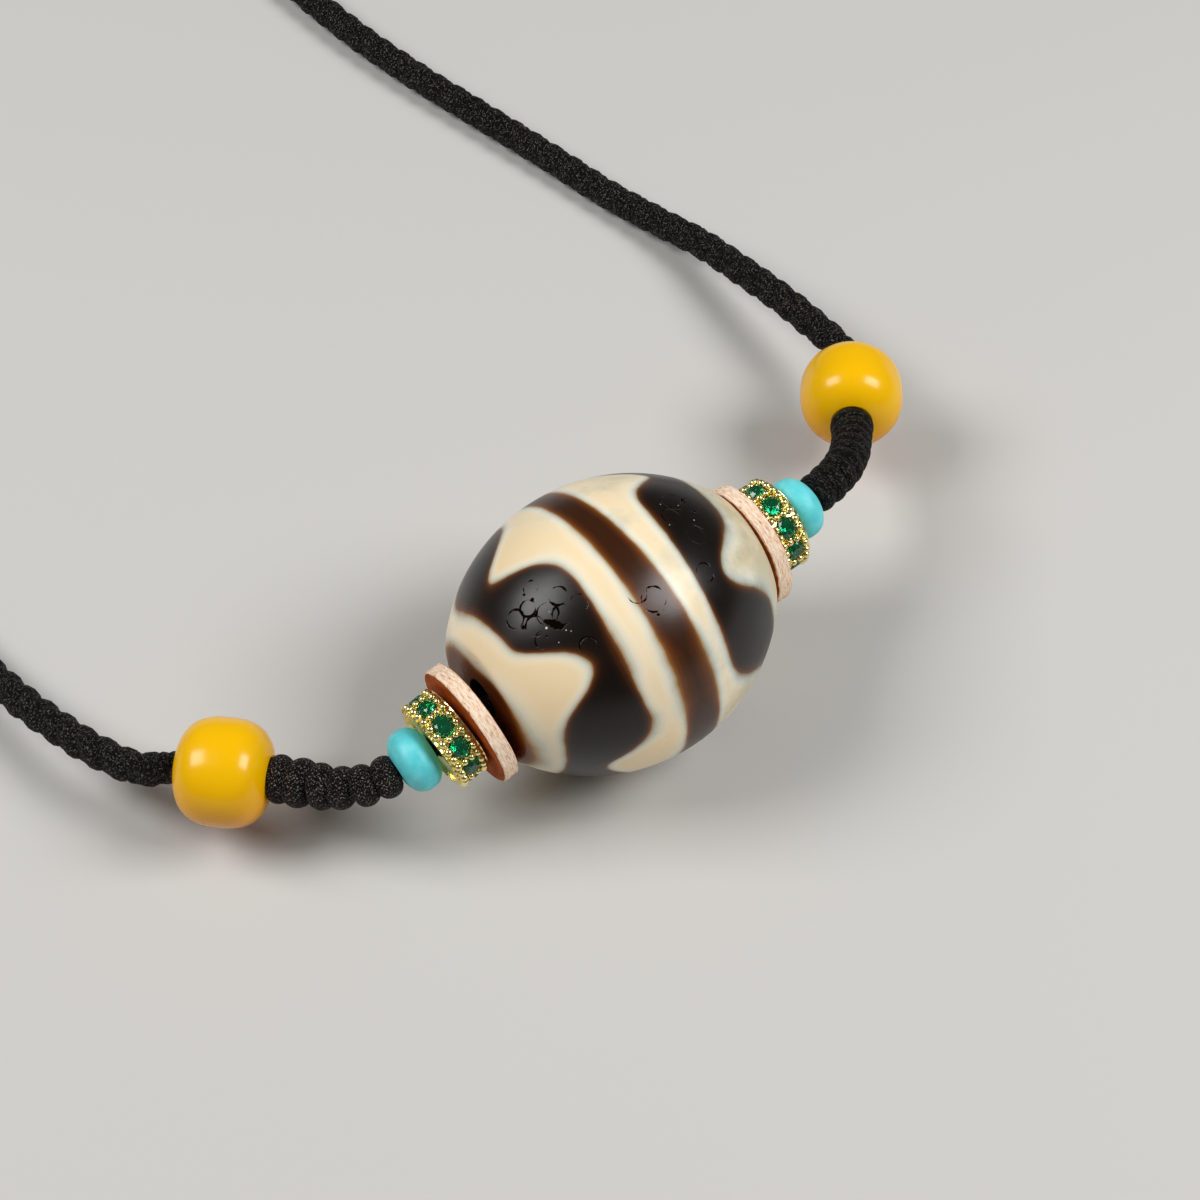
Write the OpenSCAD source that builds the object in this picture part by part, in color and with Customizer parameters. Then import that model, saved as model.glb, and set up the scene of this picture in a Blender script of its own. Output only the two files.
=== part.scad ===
// Dzi bead necklace: one fat barrel bead between leather washers, stone-set rings,
// turquoise rondelles, knotted cord necks and yellow barrel beads, on a braided cord
// whose two ends meet in a closing knot. It lies on a table, in millimetres, +Z up,
// with +X along the big bead from its left end to its right end.

/* [Dzi bead] */
// Largest diameter of the dzi bead
dzi_d = 27; // [22:0.5:34]
// Length of the dzi bead between its flat ends
dzi_len = 28.8; // [24:0.2:34]
// Diameter of its flat ends
dzi_end_d = 12.6; // [11:0.2:16]
// Diameter of the hole drilled along it
dzi_bore_d = 5.4; // [5:0.1:6.4]

/* [Leather washers] */
// Diameter of a washer
washer_d = 12.2; // [10:0.2:15]
// Thickness of the leather
washer_t = 1.6; // [1:0.1:3]
// Rounding of the washer's smooth outer edge
washer_edge = 0.3; // [0.1:0.05:0.45]

/* [Stone rings] */
// Width of a ring along the string
ring_w = 3.3; // [3:0.1:4.2]
// Smooth lip left outside each grain row
ring_lip = 0.15; // [0.05:0.01:0.2]
// Diameter of the band between the two grain rows
ring_band_d = 8.6; // [8.4:0.1:9.6]
// Diameter of one grain
grain_d = 0.66; // [0.5:0.02:0.8]
// Grains in a row for each stone
grains_per_stone = 3; // [2:1:4]
// Stones set round a ring
stone_count = 10; // [8:1:10]
// Depth of the dish turned into each end of the ring
ring_dish = 0.6; // [0.5:0.05:0.7]

/* [Emeralds] */
// Diameter of a stone at its girdle
stone_d = 2; // [1.4:0.05:2.05]
// Height of the crown above the girdle
stone_crown = 0.36; // [0.2:0.02:0.5]
// Depth of the pavilion under the girdle
stone_pavilion = 0.7; // [0.5:0.05:0.9]
// Share of the stone's diameter that the table takes
stone_table = 0.58; // [0.45:0.01:0.7]
// Share of the stone's diameter that the pavilion ends in
stone_culet = 0.12; // [0.1:0.01:0.2]

/* [Turquoise rondelles] */
// Diameter of a rondelle
turquoise_d = 6.2; // [5:0.1:7.4]
// Thickness of a rondelle
turquoise_t = 3.65; // [2.8:0.05:4.5]

/* [Yellow beads] */
// Diameter of a yellow bead
bead_d = 10.2; // [8:0.2:12]
// Length of a yellow bead along its hole
bead_len = 8.7; // [8:0.1:11]
// Rounding of its shoulders
bead_round = 3.2; // [2:0.1:3.5]

/* [Cord] */
// Diameter of the braided cord
cord_d = 3.6; // [3:0.1:3.9]
// Diameter of the thread through the big bead and its neighbours
thread_d = 2; // [1.4:0.1:2.2]
// Diameter of a knotted neck over its lobes
neck_d = 4.3; // [4:0.1:4.6]
// How far each lobe's valley lies under its crest
neck_valley = 0.3; // [0.1:0.05:0.5]
// Lobes along a knotted neck
neck_lobes = 7; // [5:1:9]
// Diameter of the closing knot
knot_d = 7; // [6:0.2:9]
// Length of the closing knot
knot_len = 18; // [14:1:22]

/* [Clearances] */
// Gap between pieces that press face to face along the string
seat_gap = 0.15; // [0.1:0.05:0.3]
// Radial gap round the thread in the small pieces
bore_gap = 0.25; // [0.15:0.05:0.4]
// Radial gap round a neck in the yellow bead
neck_gap = 0.2; // [0.1:0.05:0.3]
// Gap round a stone in its seat
stone_gap = 0.1; // [0.1:0.02:0.15]

/* [Hidden] */
sides = [-1, 1];
names = ["left", "right"];

// Where the big bead's middle lies: it rests on the table
dzi_at = [-0.5, -1.7, dzi_d / 2];

// Each side's washer: its shift from the big bead's hole as the loose string hangs,
// then its turn towards +Y and its drop, in degrees
washer_shift = [[0, -0.7, -1.1], [0, 0, 0.1]];
washer_yaw = [-2.5, 1];
washer_drop = [8, -1];
// The same for each ring, with its shift from the washer's axis
ring_shift = [[0, 0.4, 0.1], [0, 0.2, 0.25]];
ring_yaw = [-4, 1.5];
ring_drop = [10.5, -3];
// Turn and drop of each rondelle, and how far it sits in the ring's dish
turquoise_yaw = [3, 6];
turquoise_drop = [12, -2];
turquoise_nest = 0.1;
// From the rondelle's outer face to the middle of the yellow bead
bead_reach = [[-12.2, 10.4, -2.6], [13.75, 10.85, -5.2]];
// Turn and drop of each yellow bead's hole, in degrees
bead_yaw = [43, 52];
bead_drop = [2, 12];
// How far the neck goes into the yellow bead
neck_in = 1.6;
// Reach of the neck's end tangents, as a share of its span
neck_pull = 0.38;
// Turn of each ring's first stone about the string, in degrees
stone_turn = [22, 6];
// Middle of the closing knot
knot_at = [-12.5, 216, knot_d / 2];

// Route of each cord on the table, from the yellow bead to the closing knot
route_left = [
    [-42.7, 13.3, 7.3], [-44.8, 17.5, 6.4], [-46.3, 22.5, 5.3], [-47.7, 28.5, 4.2],
    [-48.7, 35, 3.1], [-49.4, 42, 2.3], [-49.8, 50, 1.8], [-50, 60, 1.8],
    [-50, 70, 1.8], [-50, 80, 1.8], [-50, 90, 1.8], [-50, 100, 1.8],
    [-50, 110, 1.8], [-50, 120, 1.8], [-50, 130, 1.8], [-50, 140, 1.8],
    [-50, 150, 1.8], [-50, 160, 1.8], [-50, 170, 1.8], [-49.5, 180, 1.8],
    [-47, 190.5, 1.8], [-43, 200.5, 1.8], [-37.3, 208.5, 2.1], [-31, 214, 2.9]
];
route_right = [
    [40.3, 16.2, 7.7], [40.4, 20, 7.1], [40.3, 26, 6.1], [40, 32, 4.8], [39.5, 38.5, 3.4],
    [38.2, 44.5, 2.3], [36.5, 50.5, 1.8], [34, 60, 1.8], [31.5, 69, 1.8],
    [29, 78, 1.8], [27, 87, 1.8], [25.7, 96, 1.8], [25, 106, 1.8],
    [24.8, 116, 1.8], [24.8, 126, 1.8], [25, 136, 1.8], [25.2, 146, 1.8],
    [25.2, 156, 1.8], [25, 167, 1.8], [24.2, 178, 1.8], [21.5, 188.5, 1.8],
    [17, 198, 1.8], [12, 207, 2.1], [6.2, 213.4, 2.9]
];

EMERALDS = [for (name = names, k = [1:stone_count]) str("emerald_", name, "_", k < 10 ? "0" : "", k)];

// Sizes that follow from those above
bore_d = thread_d + 2 * bore_gap;
bead_bore_d = neck_d + 2 * neck_gap;
seat_d = stone_d + 2 * stone_gap;
ring_rim_w = min(grain_d, (ring_w - seat_d) / 2 - ring_lip - 0.04);
dish_d = ring_band_d - 2 * grain_d;
girdle_r = ring_band_d / 2 - grain_d * 0.2;
girdle_h = 0.1;
seat_foot = girdle_r - girdle_h - stone_pavilion - 1.3 * stone_gap;
seat_cone_h = stone_pavilion * (seat_d - stone_d * stone_culet) / (stone_d * (1 - stone_culet));
post_d = min(0.5, 2 * (seat_foot + seat_cone_h) * sin(180 / stone_count) - seat_d);
grain_count = stone_count * grains_per_stone;
cord_sides = 8;
neck_sides = 12;
rings_per_lobe = 4;

function unit(v) = v / norm(v);
// A heading that turns yaw degrees from the side's outward X towards +Y and drops below level
function heading(i, yaw, drop) = [sides[i] * cos(drop) * cos(yaw), cos(drop) * sin(yaw), -sin(drop)];
function washer_dir(i) = heading(i, washer_yaw[i], washer_drop[i]);
function ring_dir(i) = heading(i, ring_yaw[i], ring_drop[i]);
function turquoise_dir(i) = heading(i, turquoise_yaw[i], turquoise_drop[i]);
function bead_dir(i) = heading(i, bead_yaw[i], bead_drop[i]);
// How far a disc of radius r stands off so that its edge clears what it tilts towards
function stand_off(r, dir, other) = seat_gap + r * norm(cross(dir, other));

function hole_end(i) = dzi_at + [sides[i] * dzi_len / 2, 0, 0] + washer_shift[i];
function washer_at(i) = hole_end(i) + washer_dir(i) * stand_off(washer_d / 2, washer_dir(i), [1, 0, 0]);
function ring_at(i) =
    washer_at(i) + ring_shift[i] + washer_dir(i) * washer_t
    + ring_dir(i) * stand_off((ring_band_d + grain_d) / 2, ring_dir(i), washer_dir(i));
function turquoise_at(i) =
    ring_at(i) + ring_dir(i) * ring_w - turquoise_dir(i) * turquoise_nest;
function neck_start(i) = turquoise_at(i) + turquoise_dir(i) * (turquoise_t + seat_gap);
function bead_at(i) = neck_start(i) + bead_reach[i];
function neck_end(i) = bead_at(i) - bead_dir(i) * (bead_len / 2 - neck_in);
function cord_start(i) = neck_end(i) + bead_dir(i) * seat_gap;
function knot_end(i) = knot_at + [sides[i] * (knot_len / 2 + seat_gap), 0, 0];

// Point at t on the neck's curve, which leaves the rondelle and enters the bead squarely
function neck_point(i, t) =
    let (
        a = neck_start(i),
        d = neck_end(i),
        pull = neck_pull * norm(d - a),
        b = a + turquoise_dir(i) * pull,
        c = d - bead_dir(i) * pull
    )
    pow(1 - t, 3) * a + 3 * pow(1 - t, 2) * t * b + 3 * (1 - t) * t * t * c + pow(t, 3) * d;

// A ring of points round a place, square to a direction that is never upright
function ring_points(at, dir, r, n) =
    let (across = unit(cross(dir, [0, 0, 1])), up = cross(across, dir))
    [for (k = [0:n - 1]) at + r * (sin(360 * k / n) * across - cos(360 * k / n) * up)];

// Direction of a path at its point k
function path_dir(path, k) =
    unit(path[min(k + 1, len(path) - 1)] - path[max(k - 1, 0)]);

// A closed tube swept along a path, with a radius for each of its points
module tube(path, radii, n) {
    last = len(path) - 1;
    points = [for (k = [0:last]) each ring_points(path[k], path_dir(path, k), radii[k], n)];
    walls = [
        for (k = [0:last - 1], j = [0:n - 1])
            [k * n + j, k * n + (j + 1) % n, (k + 1) * n + (j + 1) % n, (k + 1) * n + j]
    ];
    start_cap = [for (j = [n - 1:-1:0]) j];
    end_cap = [for (j = [0:n - 1]) last * n + j];
    polyhedron(points, concat(walls, [start_cap, end_cap]), convexity = 6);
}

// Stands a piece that is modelled along +Z on the string, with its foot at a place
module along(at, i, yaw, drop) {
    translate(at)
        rotate([0, 90 + drop, sides[i] > 0 ? yaw : 180 - yaw])
            children();
}

// Half outline of a turned piece with rounded outer corners, standing on Z = 0
module rounded_profile(outer_r, h, edge) {
    square([outer_r - edge, h]);
    translate([0, edge])
        square([outer_r, h - 2 * edge]);
    translate([outer_r - edge, edge])
        circle(r = edge, $fn = 48);
    translate([outer_r - edge, h - edge])
        circle(r = edge, $fn = 48);
}

// A turned, drilled piece with rounded outer corners
module turned(outer_d, h, edge, hole_d) {
    difference() {
        rotate_extrude($fn = 96)
            intersection() {
                rounded_profile(outer_d / 2, h, edge);
                square([outer_d, h]);
            }
        translate([0, 0, -1])
            cylinder(d = hole_d, h = h + 2, $fn = 48);
    }
}

// The fat barrel: one arc swept round the hole, cut flat at both ends
module dzi_bead() {
    end_r = dzi_end_d / 2;
    rise = dzi_d / 2 - end_r;
    arc_r = (pow(dzi_len / 2, 2) + pow(rise, 2)) / (2 * rise);
    color([0.32, 0.17, 0.09])
        translate(dzi_at)
            rotate([0, 90, 0])
                difference() {
                    rotate_extrude($fn = 128)
                        intersection() {
                            translate([dzi_d / 2 - arc_r, 0])
                                circle(r = arc_r, $fn = 180);
                            translate([0, -dzi_len / 2])
                                square([dzi_d, dzi_len]);
                        }
                    translate([0, 0, -dzi_len])
                        cylinder(d = dzi_bore_d, h = 2 * dzi_len, $fn = 48);
                }
}

module leather_washer(i) {
    color([0.55, 0.3, 0.17])
        along(washer_at(i), i, washer_yaw[i], washer_drop[i])
            turned(washer_d, washer_t, washer_edge, bore_d);
}

// One rim of a ring: a hoop whose edge is a row of grains
module grain_rim() {
    linear_extrude(ring_rim_w)
        difference() {
            union() {
                circle(d = ring_band_d, $fn = 96);
                for (k = [0:grain_count - 1])
                    rotate(360 * k / grain_count)
                        translate([ring_band_d / 2, 0])
                            circle(d = grain_d, $fn = 24);
            }
            circle(d = dish_d, $fn = 96);
        }
}

// The angle of stone k, or of the bar half a step past it
function stone_angle(i, k) = stone_turn[i] + 360 * k / stone_count;

// Two grain posts that stand between each stone and the next
module grain_posts(i) {
    for (k = [0:stone_count - 1], z = [0.38, 0.62])
        rotate([0, 0, stone_angle(i, k + 0.5)])
            translate([ring_band_d / 2 - grain_d, 0, ring_w * z])
                rotate([0, 90, 0])
                    cylinder(d = post_d, h = grain_d * 1.4, $fn = 24);
}

// The band under the stones: drilled for the thread, dished at both ends, with a seat for each stone
module ring_band(i) {
    difference() {
        cylinder(d = ring_band_d - grain_d * 0.4, h = ring_w, $fn = 96);
        translate([0, 0, -1])
            cylinder(d = bore_d, h = ring_w + 2, $fn = 48);
        for (z = [-1, ring_w - ring_dish])
            translate([0, 0, z])
                cylinder(d = dish_d, h = 1 + ring_dish, $fn = 96);
        for (k = [0:stone_count - 1])
            rotate([0, 0, stone_angle(i, k)])
                translate([seat_foot, 0, ring_w / 2])
                    rotate([0, 90, 0]) {
                        cylinder(d1 = stone_d * stone_culet, d2 = seat_d, h = seat_cone_h, $fn = 32);
                        translate([0, 0, seat_cone_h])
                            cylinder(d = seat_d, h = ring_w, $fn = 32);
                    }
    }
}

// The cast ring: its band between two rims of grains, with grains between the stones
module stone_ring(i) {
    color([0.93, 0.72, 0.2])
        along(ring_at(i), i, ring_yaw[i], ring_drop[i]) {
            ring_band(i);
            grain_posts(i);
            for (z = [ring_lip, ring_w - ring_lip - ring_rim_w])
                translate([0, 0, z])
                    grain_rim();
        }
}

// One cut stone: table, eight crown facets, girdle and pavilion
module emerald(i, k) {
    color([0.04, 0.5, 0.27])
        along(ring_at(i), i, ring_yaw[i], ring_drop[i])
            rotate([0, 0, stone_angle(i, k)])
                translate([girdle_r - girdle_h, 0, ring_w / 2])
                    rotate([0, 90, 0]) {
                        translate([0, 0, girdle_h])
                            cylinder(d1 = stone_d, d2 = stone_d * stone_table, h = stone_crown, $fn = 8);
                        cylinder(d = stone_d, h = girdle_h, $fn = 8);
                        translate([0, 0, -stone_pavilion])
                            cylinder(d1 = stone_d * stone_culet, d2 = stone_d, h = stone_pavilion, $fn = 8);
                    }
}

module turquoise_bead(i) {
    color([0.27, 0.75, 0.82])
        along(turquoise_at(i), i, turquoise_yaw[i], turquoise_drop[i])
            turned(turquoise_d, turquoise_t, turquoise_t * 0.42, bore_d);
}

// The thread that carries the middle pieces, end to end between the two necks
module core_thread() {
    path = [
        neck_start(0) - turquoise_dir(0) * 2 * seat_gap,
        turquoise_at(0) + turquoise_dir(0) * turquoise_t * 0.5,
        ring_at(0) + ring_dir(0) * ring_w * 0.7,
        ring_at(0) + ring_dir(0) * ring_w * 0.3,
        washer_at(0) + washer_dir(0) * washer_t * 0.5,
        hole_end(0) + [dzi_len * 0.1, 0, 0],
        dzi_at + (washer_shift[0] + washer_shift[1]) / 2,
        hole_end(1) - [dzi_len * 0.1, 0, 0],
        washer_at(1) + washer_dir(1) * washer_t * 0.5,
        ring_at(1) + ring_dir(1) * ring_w * 0.3,
        ring_at(1) + ring_dir(1) * ring_w * 0.7,
        turquoise_at(1) + turquoise_dir(1) * turquoise_t * 0.5,
        neck_start(1) - turquoise_dir(1) * 2 * seat_gap
    ];
    color([0.08, 0.08, 0.08])
        tube(path, [for (p = path) thread_d / 2], neck_sides);
}

// A neck of snake knots: round lobes along a curve that ends inside the yellow bead
module knotted_neck(i) {
    steps = neck_lobes * rings_per_lobe;
    path = [for (k = [0:steps]) neck_point(i, k / steps)];
    radii = [for (k = [0:steps]) neck_d / 2 - neck_valley * pow(cos(180 * k / rings_per_lobe), 2)];
    color([0.1, 0.1, 0.1])
        tube(path, radii, neck_sides);
}

module yellow_bead(i) {
    color([0.96, 0.72, 0.04])
        along(bead_at(i) - bead_dir(i) * bead_len / 2, i, bead_yaw[i], bead_drop[i])
            turned(bead_d, bead_len, bead_round, bead_bore_d);
}

// A braided cord from inside the yellow bead to the closing knot
module cord(i, route) {
    path = concat(
        [cord_start(i), bead_at(i) + bead_dir(i) * bead_len / 2],
        route,
        [knot_end(i) + [sides[i] * cord_d, 0, 0], knot_end(i)]
    );
    color([0.07, 0.07, 0.07])
        tube(path, [for (p = path) cord_d / 2], cord_sides);
}

module closing_knot() {
    color([0.07, 0.07, 0.07])
        translate(knot_at - [knot_len / 2, 0, 0])
            rotate([0, 90, 0])
                rotate_extrude($fn = 64)
                    intersection() {
                        rounded_profile(knot_d / 2, knot_len, knot_d * 0.2);
                        square([knot_d, knot_len]);
                    }
}

dzi_bead();
core_thread();
closing_knot();
cord(0, route_left);  // cord_left
cord(1, route_right);  // cord_right
for (i = [0, 1]) {
    leather_washer(i);
    stone_ring(i);
    turquoise_bead(i);
    knotted_neck(i);
    yellow_bead(i);
    for (k = [1:stone_count])
        emerald(i, k);
}
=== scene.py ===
import bmesh
import bpy
import numpy as np
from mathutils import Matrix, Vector


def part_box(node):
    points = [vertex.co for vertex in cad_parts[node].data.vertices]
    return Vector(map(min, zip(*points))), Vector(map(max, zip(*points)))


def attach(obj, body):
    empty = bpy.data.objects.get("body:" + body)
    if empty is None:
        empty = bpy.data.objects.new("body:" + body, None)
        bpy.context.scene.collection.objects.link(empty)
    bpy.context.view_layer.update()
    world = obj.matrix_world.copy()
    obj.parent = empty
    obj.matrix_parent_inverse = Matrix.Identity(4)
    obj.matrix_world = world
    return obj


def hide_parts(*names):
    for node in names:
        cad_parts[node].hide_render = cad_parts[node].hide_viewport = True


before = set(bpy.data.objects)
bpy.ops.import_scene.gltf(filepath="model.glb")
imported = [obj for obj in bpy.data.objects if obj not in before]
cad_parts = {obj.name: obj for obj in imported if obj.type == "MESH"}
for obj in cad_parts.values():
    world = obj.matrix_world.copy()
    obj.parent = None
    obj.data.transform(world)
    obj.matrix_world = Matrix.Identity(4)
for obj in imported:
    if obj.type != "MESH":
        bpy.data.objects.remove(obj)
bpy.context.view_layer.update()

# Camera, floor and light: a long lens looks down on the beads at the photograph's angle.
# Two soft boxes hang to its left and right over a pale floor, and a pale room fills the shadows.
CAMERA_AT = (-0.09176, -0.13009, 0.24234)
CAMERA_TURN = (35, 0, -35)
LENS = 90
FLOOR_HALF = 2.0
BOX_DISTANCE = 0.6
BOX_SIZE = 0.28
LEFT_WATTS = 2.2
RIGHT_WATTS = 2.6
LEFT_BOX = (-0.523, 0.382, 0.766)
RIGHT_BOX = (0.486, -0.417, 0.757)
ROOM_LIGHT = 0.1


def linear(code):
    """A #RRGGBB colour as linear RGBA: v / 12.92 up to 0.04045, above it
    ((v + 0.055) / 1.055) ** 2.4."""
    v = np.array([int(code[k : k + 2], 16) for k in (1, 3, 5)]) / 255
    lin = np.where(v <= 0.04045, v / 12.92, ((v + 0.055) / 1.055) ** 2.4)
    return (*lin.tolist(), 1.0)


def finish_of(name, sockets):
    """A named material, its node tree and its Principled shader with plain values set on it."""
    made = bpy.data.materials.new(name)
    made.use_nodes = True
    shader = made.node_tree.nodes["Principled BSDF"]
    for key, value in sockets.items():
        shader.inputs[key].default_value = value
    return made, made.node_tree, shader


def soft_box(name, towards, watts):
    """A square area light that hangs in a direction from the beads and faces them."""
    lamp = bpy.data.lights.new(name, "AREA")
    lamp.shape = "SQUARE"
    lamp.size = BOX_SIZE
    lamp.energy = watts
    held = bpy.data.objects.new(name, lamp)
    held.location = Vector(towards).normalized() * BOX_DISTANCE
    held.rotation_euler = Vector(towards).to_track_quat("Z", "Y").to_euler()
    bpy.context.collection.objects.link(held)


lens = bpy.data.cameras.new("camera")
lens.lens = LENS
lens.sensor_width = 36
lens.clip_start = 0.01
camera = bpy.data.objects.new("camera", lens)
camera.location = CAMERA_AT
camera.rotation_euler = np.radians(CAMERA_TURN).tolist()
bpy.context.collection.objects.link(camera)
bpy.context.scene.camera = camera

soft_box("soft_box_left", LEFT_BOX, LEFT_WATTS)
soft_box("soft_box_right", RIGHT_BOX, RIGHT_WATTS)
room = bpy.data.worlds.new("room")
room.use_nodes = True
room.node_tree.nodes["Background"].inputs["Color"].default_value = linear("#F2F3F5")
room.node_tree.nodes["Background"].inputs["Strength"].default_value = ROOM_LIGHT
bpy.context.scene.world = room
bpy.context.scene.view_settings.view_transform = "Standard"

floor_mesh = bpy.data.meshes.new("floor")
floor_mesh.from_pydata(
    [(x * FLOOR_HALF, y * FLOOR_HALF, 0) for x, y in ((-1, -1), (1, -1), (1, 1), (-1, 1))],
    [],
    [(0, 1, 2, 3)],
)
floor = bpy.data.objects.new("floor", floor_mesh)
# Matt painted board: even, pale and without a gleam.
painted_board, _, _ = finish_of(
    "painted_board", {"Base Color": linear("#CBC9C5"), "Roughness": 0.7}
)
floor_mesh.materials.append(painted_board)
bpy.context.collection.objects.link(floor)

# Braided cords: four strands of black nylon plaited round, 3.6 mm thick, run from inside the
# yellow beads along the floor into the closing knot. Each strand winds round the cord's middle
# line and weaves over and under the two that wind the other way.
MM = 0.001
CM = 10 * MM
CORD_D = 3.6
CORD_IN_BEAD = 3
CORD_STEP = 0.3
BRAID_TURN = 5.6
STRAND_OUT = 0.74
STRAND_WEAVE = 0.32
STRAND_THICK = 0.66
STRAND_WIDE = 1.12
STRAND_SIDES = 10
CORD_IN_KNOT = 8.6
YELLOW_LEN = 8.7
YELLOW_YAW = (43, 52)
YELLOW_DROP = (2, 12)
SIDES = ((0, "left", -1), (1, "right", 1))
# Points of each cord in metres, from just outside its yellow bead to just outside the knot.
ROUTES = (
    [
        (-0.0427, 0.0133, 0.0073), (-0.0448, 0.0175, 0.0064), (-0.0463, 0.0225, 0.0053),
        (-0.0477, 0.0285, 0.0042), (-0.0487, 0.035, 0.0031), (-0.0494, 0.042, 0.0023),
        (-0.0498, 0.05, 0.0018), (-0.05, 0.06, 0.0018), (-0.05, 0.07, 0.0018),
        (-0.05, 0.08, 0.0018), (-0.05, 0.09, 0.0018), (-0.05, 0.1, 0.0018),
        (-0.05, 0.11, 0.0018), (-0.05, 0.12, 0.0018), (-0.05, 0.13, 0.0018),
        (-0.05, 0.14, 0.0018), (-0.05, 0.15, 0.0018), (-0.05, 0.16, 0.0018),
        (-0.05, 0.17, 0.0018), (-0.0495, 0.18, 0.0018), (-0.047, 0.1905, 0.0018),
        (-0.043, 0.2005, 0.0018), (-0.0373, 0.2085, 0.0021), (-0.031, 0.214, 0.0029),
    ],
    [
        (0.0403, 0.0162, 0.0077), (0.0404, 0.02, 0.0071), (0.0403, 0.026, 0.0061),
        (0.04, 0.032, 0.0048), (0.0395, 0.0385, 0.0034), (0.0382, 0.0445, 0.0023),
        (0.0365, 0.0505, 0.0018), (0.034, 0.06, 0.0018), (0.0315, 0.069, 0.0018),
        (0.029, 0.078, 0.0018), (0.027, 0.087, 0.0018), (0.0257, 0.096, 0.0018),
        (0.025, 0.106, 0.0018), (0.0248, 0.116, 0.0018), (0.0248, 0.126, 0.0018),
        (0.025, 0.136, 0.0018), (0.0252, 0.146, 0.0018), (0.0252, 0.156, 0.0018),
        (0.025, 0.167, 0.0018), (0.0242, 0.178, 0.0018), (0.0215, 0.1885, 0.0018),
        (0.017, 0.198, 0.0018), (0.012, 0.207, 0.0021), (0.0062, 0.2134, 0.0029),
    ],
)


def centre_of(node):
    """The middle of a CAD node's box, in millimetres."""
    low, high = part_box(node)
    return (np.array(low) + np.array(high)) / 2 / MM


def heading(side, yaw, drop):
    """The unit direction that leaves a side outward: (side cos d cos y, cos d sin y, -sin d),
    with y the turn towards +Y and d the drop below level."""
    y, d = np.radians((yaw, drop))
    return np.array([side * np.cos(d) * np.cos(y), np.cos(d) * np.sin(y), -np.sin(d)])


def unit(v):
    """Vectors over their own lengths, along the last axis."""
    return v / np.linalg.norm(v, axis=-1, keepdims=True)


def line_through(points, step):
    """Points a step apart on the cubic Hermite curve whose slope at each point is the chord
    between its neighbours over the arc between them."""
    p = np.array(points, float)
    t = np.concatenate(([0], np.cumsum(np.linalg.norm(np.diff(p, axis=0), axis=1))))
    slope = np.gradient(p, t, axis=0)
    fine = np.linspace(0, t[-1], int(t[-1] / step) * 8)
    k = np.clip(np.searchsorted(t, fine, "right") - 1, 0, len(t) - 2)
    span = (t[k + 1] - t[k])[:, None]
    u = (fine - t[k])[:, None] / span
    curve = (
        (2 * u**3 - 3 * u**2 + 1) * p[k]
        + (u**3 - 2 * u**2 + u) * span * slope[k]
        + (3 * u**2 - 2 * u**3) * p[k + 1]
        + (u**3 - u**2) * span * slope[k + 1]
    )
    run = np.concatenate(([0], np.cumsum(np.linalg.norm(np.diff(curve, axis=0), axis=1))))
    even = np.linspace(0, run[-1], int(run[-1] / step) + 1)
    return np.stack([np.interp(even, run, curve[:, a]) for a in range(3)], 1)


def square_to(ahead):
    """The level and the upright unit vectors square to a direction that isn't upright itself."""
    across = unit(np.cross(ahead, (0, 0, 1)))
    return across, np.cross(across, ahead)


def frames_along(line):
    """Tangent, level and upright unit vectors at each point of a line that is never upright."""
    ahead = unit(np.gradient(line, axis=0))
    return ahead, *square_to(ahead)


def grid_part(points, wrap_rows=False, along=None):
    """A grid of points as a closed part: columns wrap round, rows wrap too or end in caps. Each
    face is four neighbours of the grid, and its UV is the share round and the length along."""
    rows, cols = points.shape[:2]
    i, j = np.meshgrid(np.arange(rows if wrap_rows else rows - 1), np.arange(cols), indexing="ij")
    r = np.stack([i, i, i + 1, i + 1], -1).reshape(-1, 4)
    c = np.stack([j, j + 1, j + 1, j], -1).reshape(-1, 4)
    faces = (r % rows) * cols + c % cols
    if along is None:
        along = np.arange(rows)
    along = np.append(along, 2 * along[-1] - along[-2])
    uv = np.stack([c / cols, along[r]], -1)
    verts = points.reshape(-1, 3)
    a, b, d, e = (verts[faces[:, k]] for k in range(4))
    middle = verts.mean(0)
    volume = np.einsum("ij,ij->", a + b + d + e - 4 * middle, np.cross(d - a, e - b))
    blocks = [(faces, uv)]
    if not wrap_rows:
        ends = np.array([np.arange(cols)[::-1], (rows - 1) * cols + np.arange(cols)])
        blocks.append((ends, np.zeros((2, cols, 2))))
    if volume < 0:
        blocks = [(f[:, ::-1], w[:, ::-1]) for f, w in blocks]
    return verts, blocks


def swept(line, thick, wide, toward, sides, along=None):
    """An oval carried along a line: thick along toward, wide square to it and to the line."""
    ahead = unit(np.gradient(line, axis=0))
    out = unit(toward - ahead * (toward * ahead).sum(-1, keepdims=True))
    level = np.cross(ahead, out)
    turn = np.linspace(0, 2 * np.pi, sides, endpoint=False)
    thick = np.broadcast_to(thick, len(line))[:, None, None]
    wide = np.broadcast_to(wide, len(line))[:, None, None]
    ring = (
        thick * np.cos(turn)[None, :, None] * out[:, None]
        + wide * np.sin(turn)[None, :, None] * level[:, None]
    )
    if along is None:
        along = np.concatenate(([0], np.cumsum(np.linalg.norm(np.diff(line, axis=0), axis=1))))
    return grid_part(line[:, None] + ring, along=along)


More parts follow.
